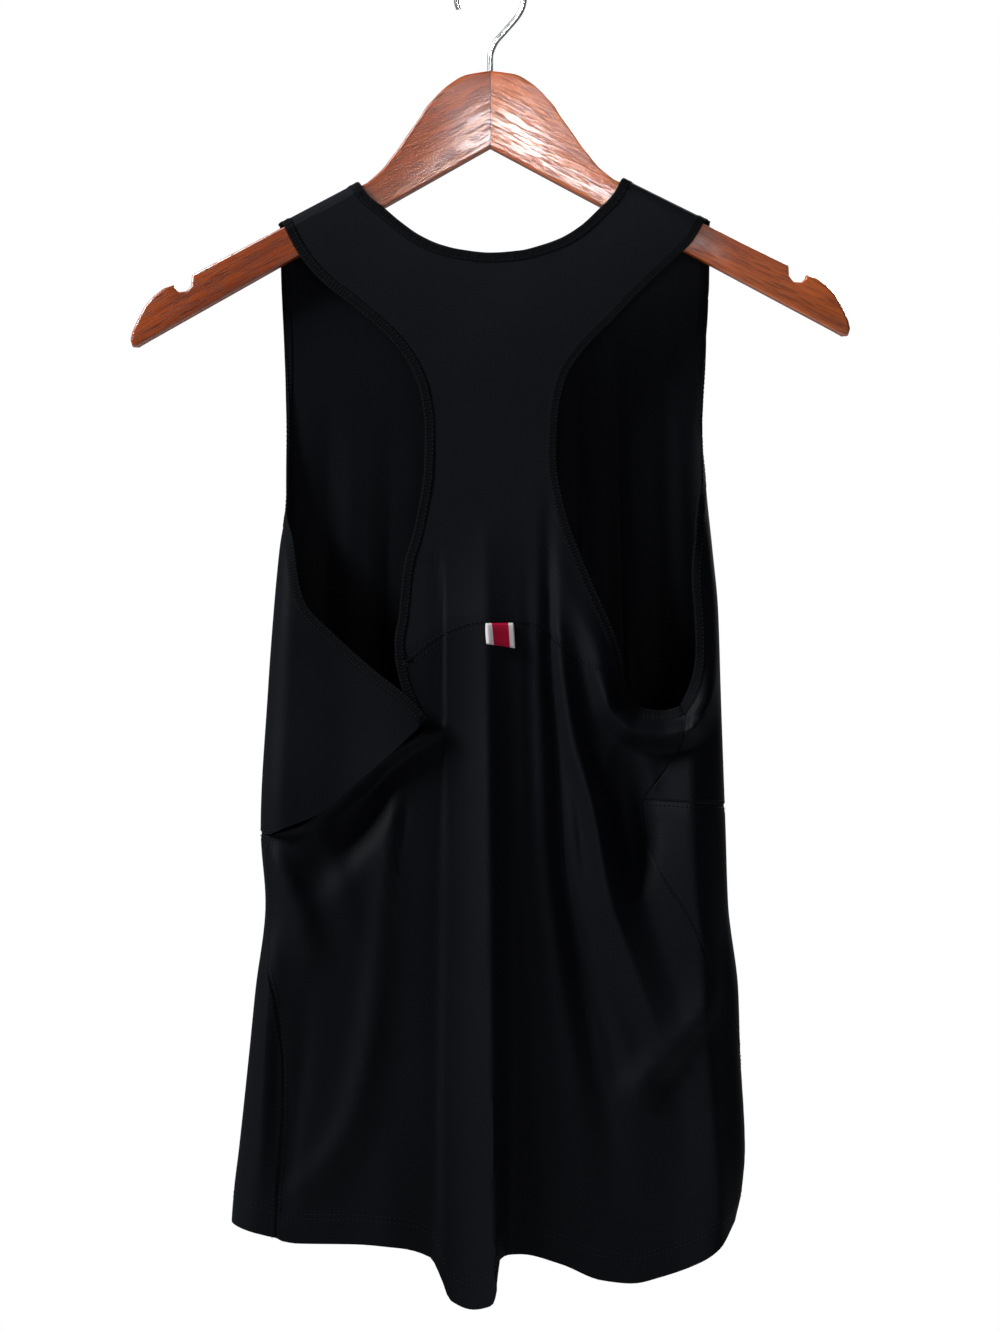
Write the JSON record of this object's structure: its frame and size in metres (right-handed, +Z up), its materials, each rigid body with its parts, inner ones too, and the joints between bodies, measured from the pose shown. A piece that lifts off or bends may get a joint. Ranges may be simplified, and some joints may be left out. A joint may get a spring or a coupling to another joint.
{
  "type": "running singlet on a wooden hanger",
  "caption": "Black running singlet with a racer back and a long pleated back, hanging by its straps from a plain wooden clothes hanger with a wire hook.",
  "frame": {"origin": "the inside top of the hanger's hook, where a rail or wall hook holds it", "axes": "+Z up, -Y out of the garment's back, +X towards the wearer's right side as it hangs with its back to the viewer"},
  "size_m": [0.4452, 0.0791, 0.8321],
  "materials": {
    "yoke_cloth": "matt micro-mesh knit",
    "jersey": "smooth polyester jersey with a slight sheen",
    "binding": "matt stretch binding",
    "woven_label": "woven tape, a red band between two white ones",
    "stained_wood": "red-brown stain under clear gloss lacquer",
    "steel": "bright plated wire"
  },
  "bodies": {
    "root": {"back_yoke": "yoke_cloth", "back_panel": "jersey", "front_panel": "jersey", "front_skirt": "jersey", "neck_binding_back": "binding", "neck_binding_front": "binding", "armhole_binding_left_back": "binding", "armhole_binding_left_front": "binding", "armhole_binding_right_back": "binding", "armhole_binding_right_front": "binding", "label_tab": "woven_label", "hanger_left": "stained_wood", "hanger_right": "stained_wood", "hook": "steel"}
  },
  "joints": []
}
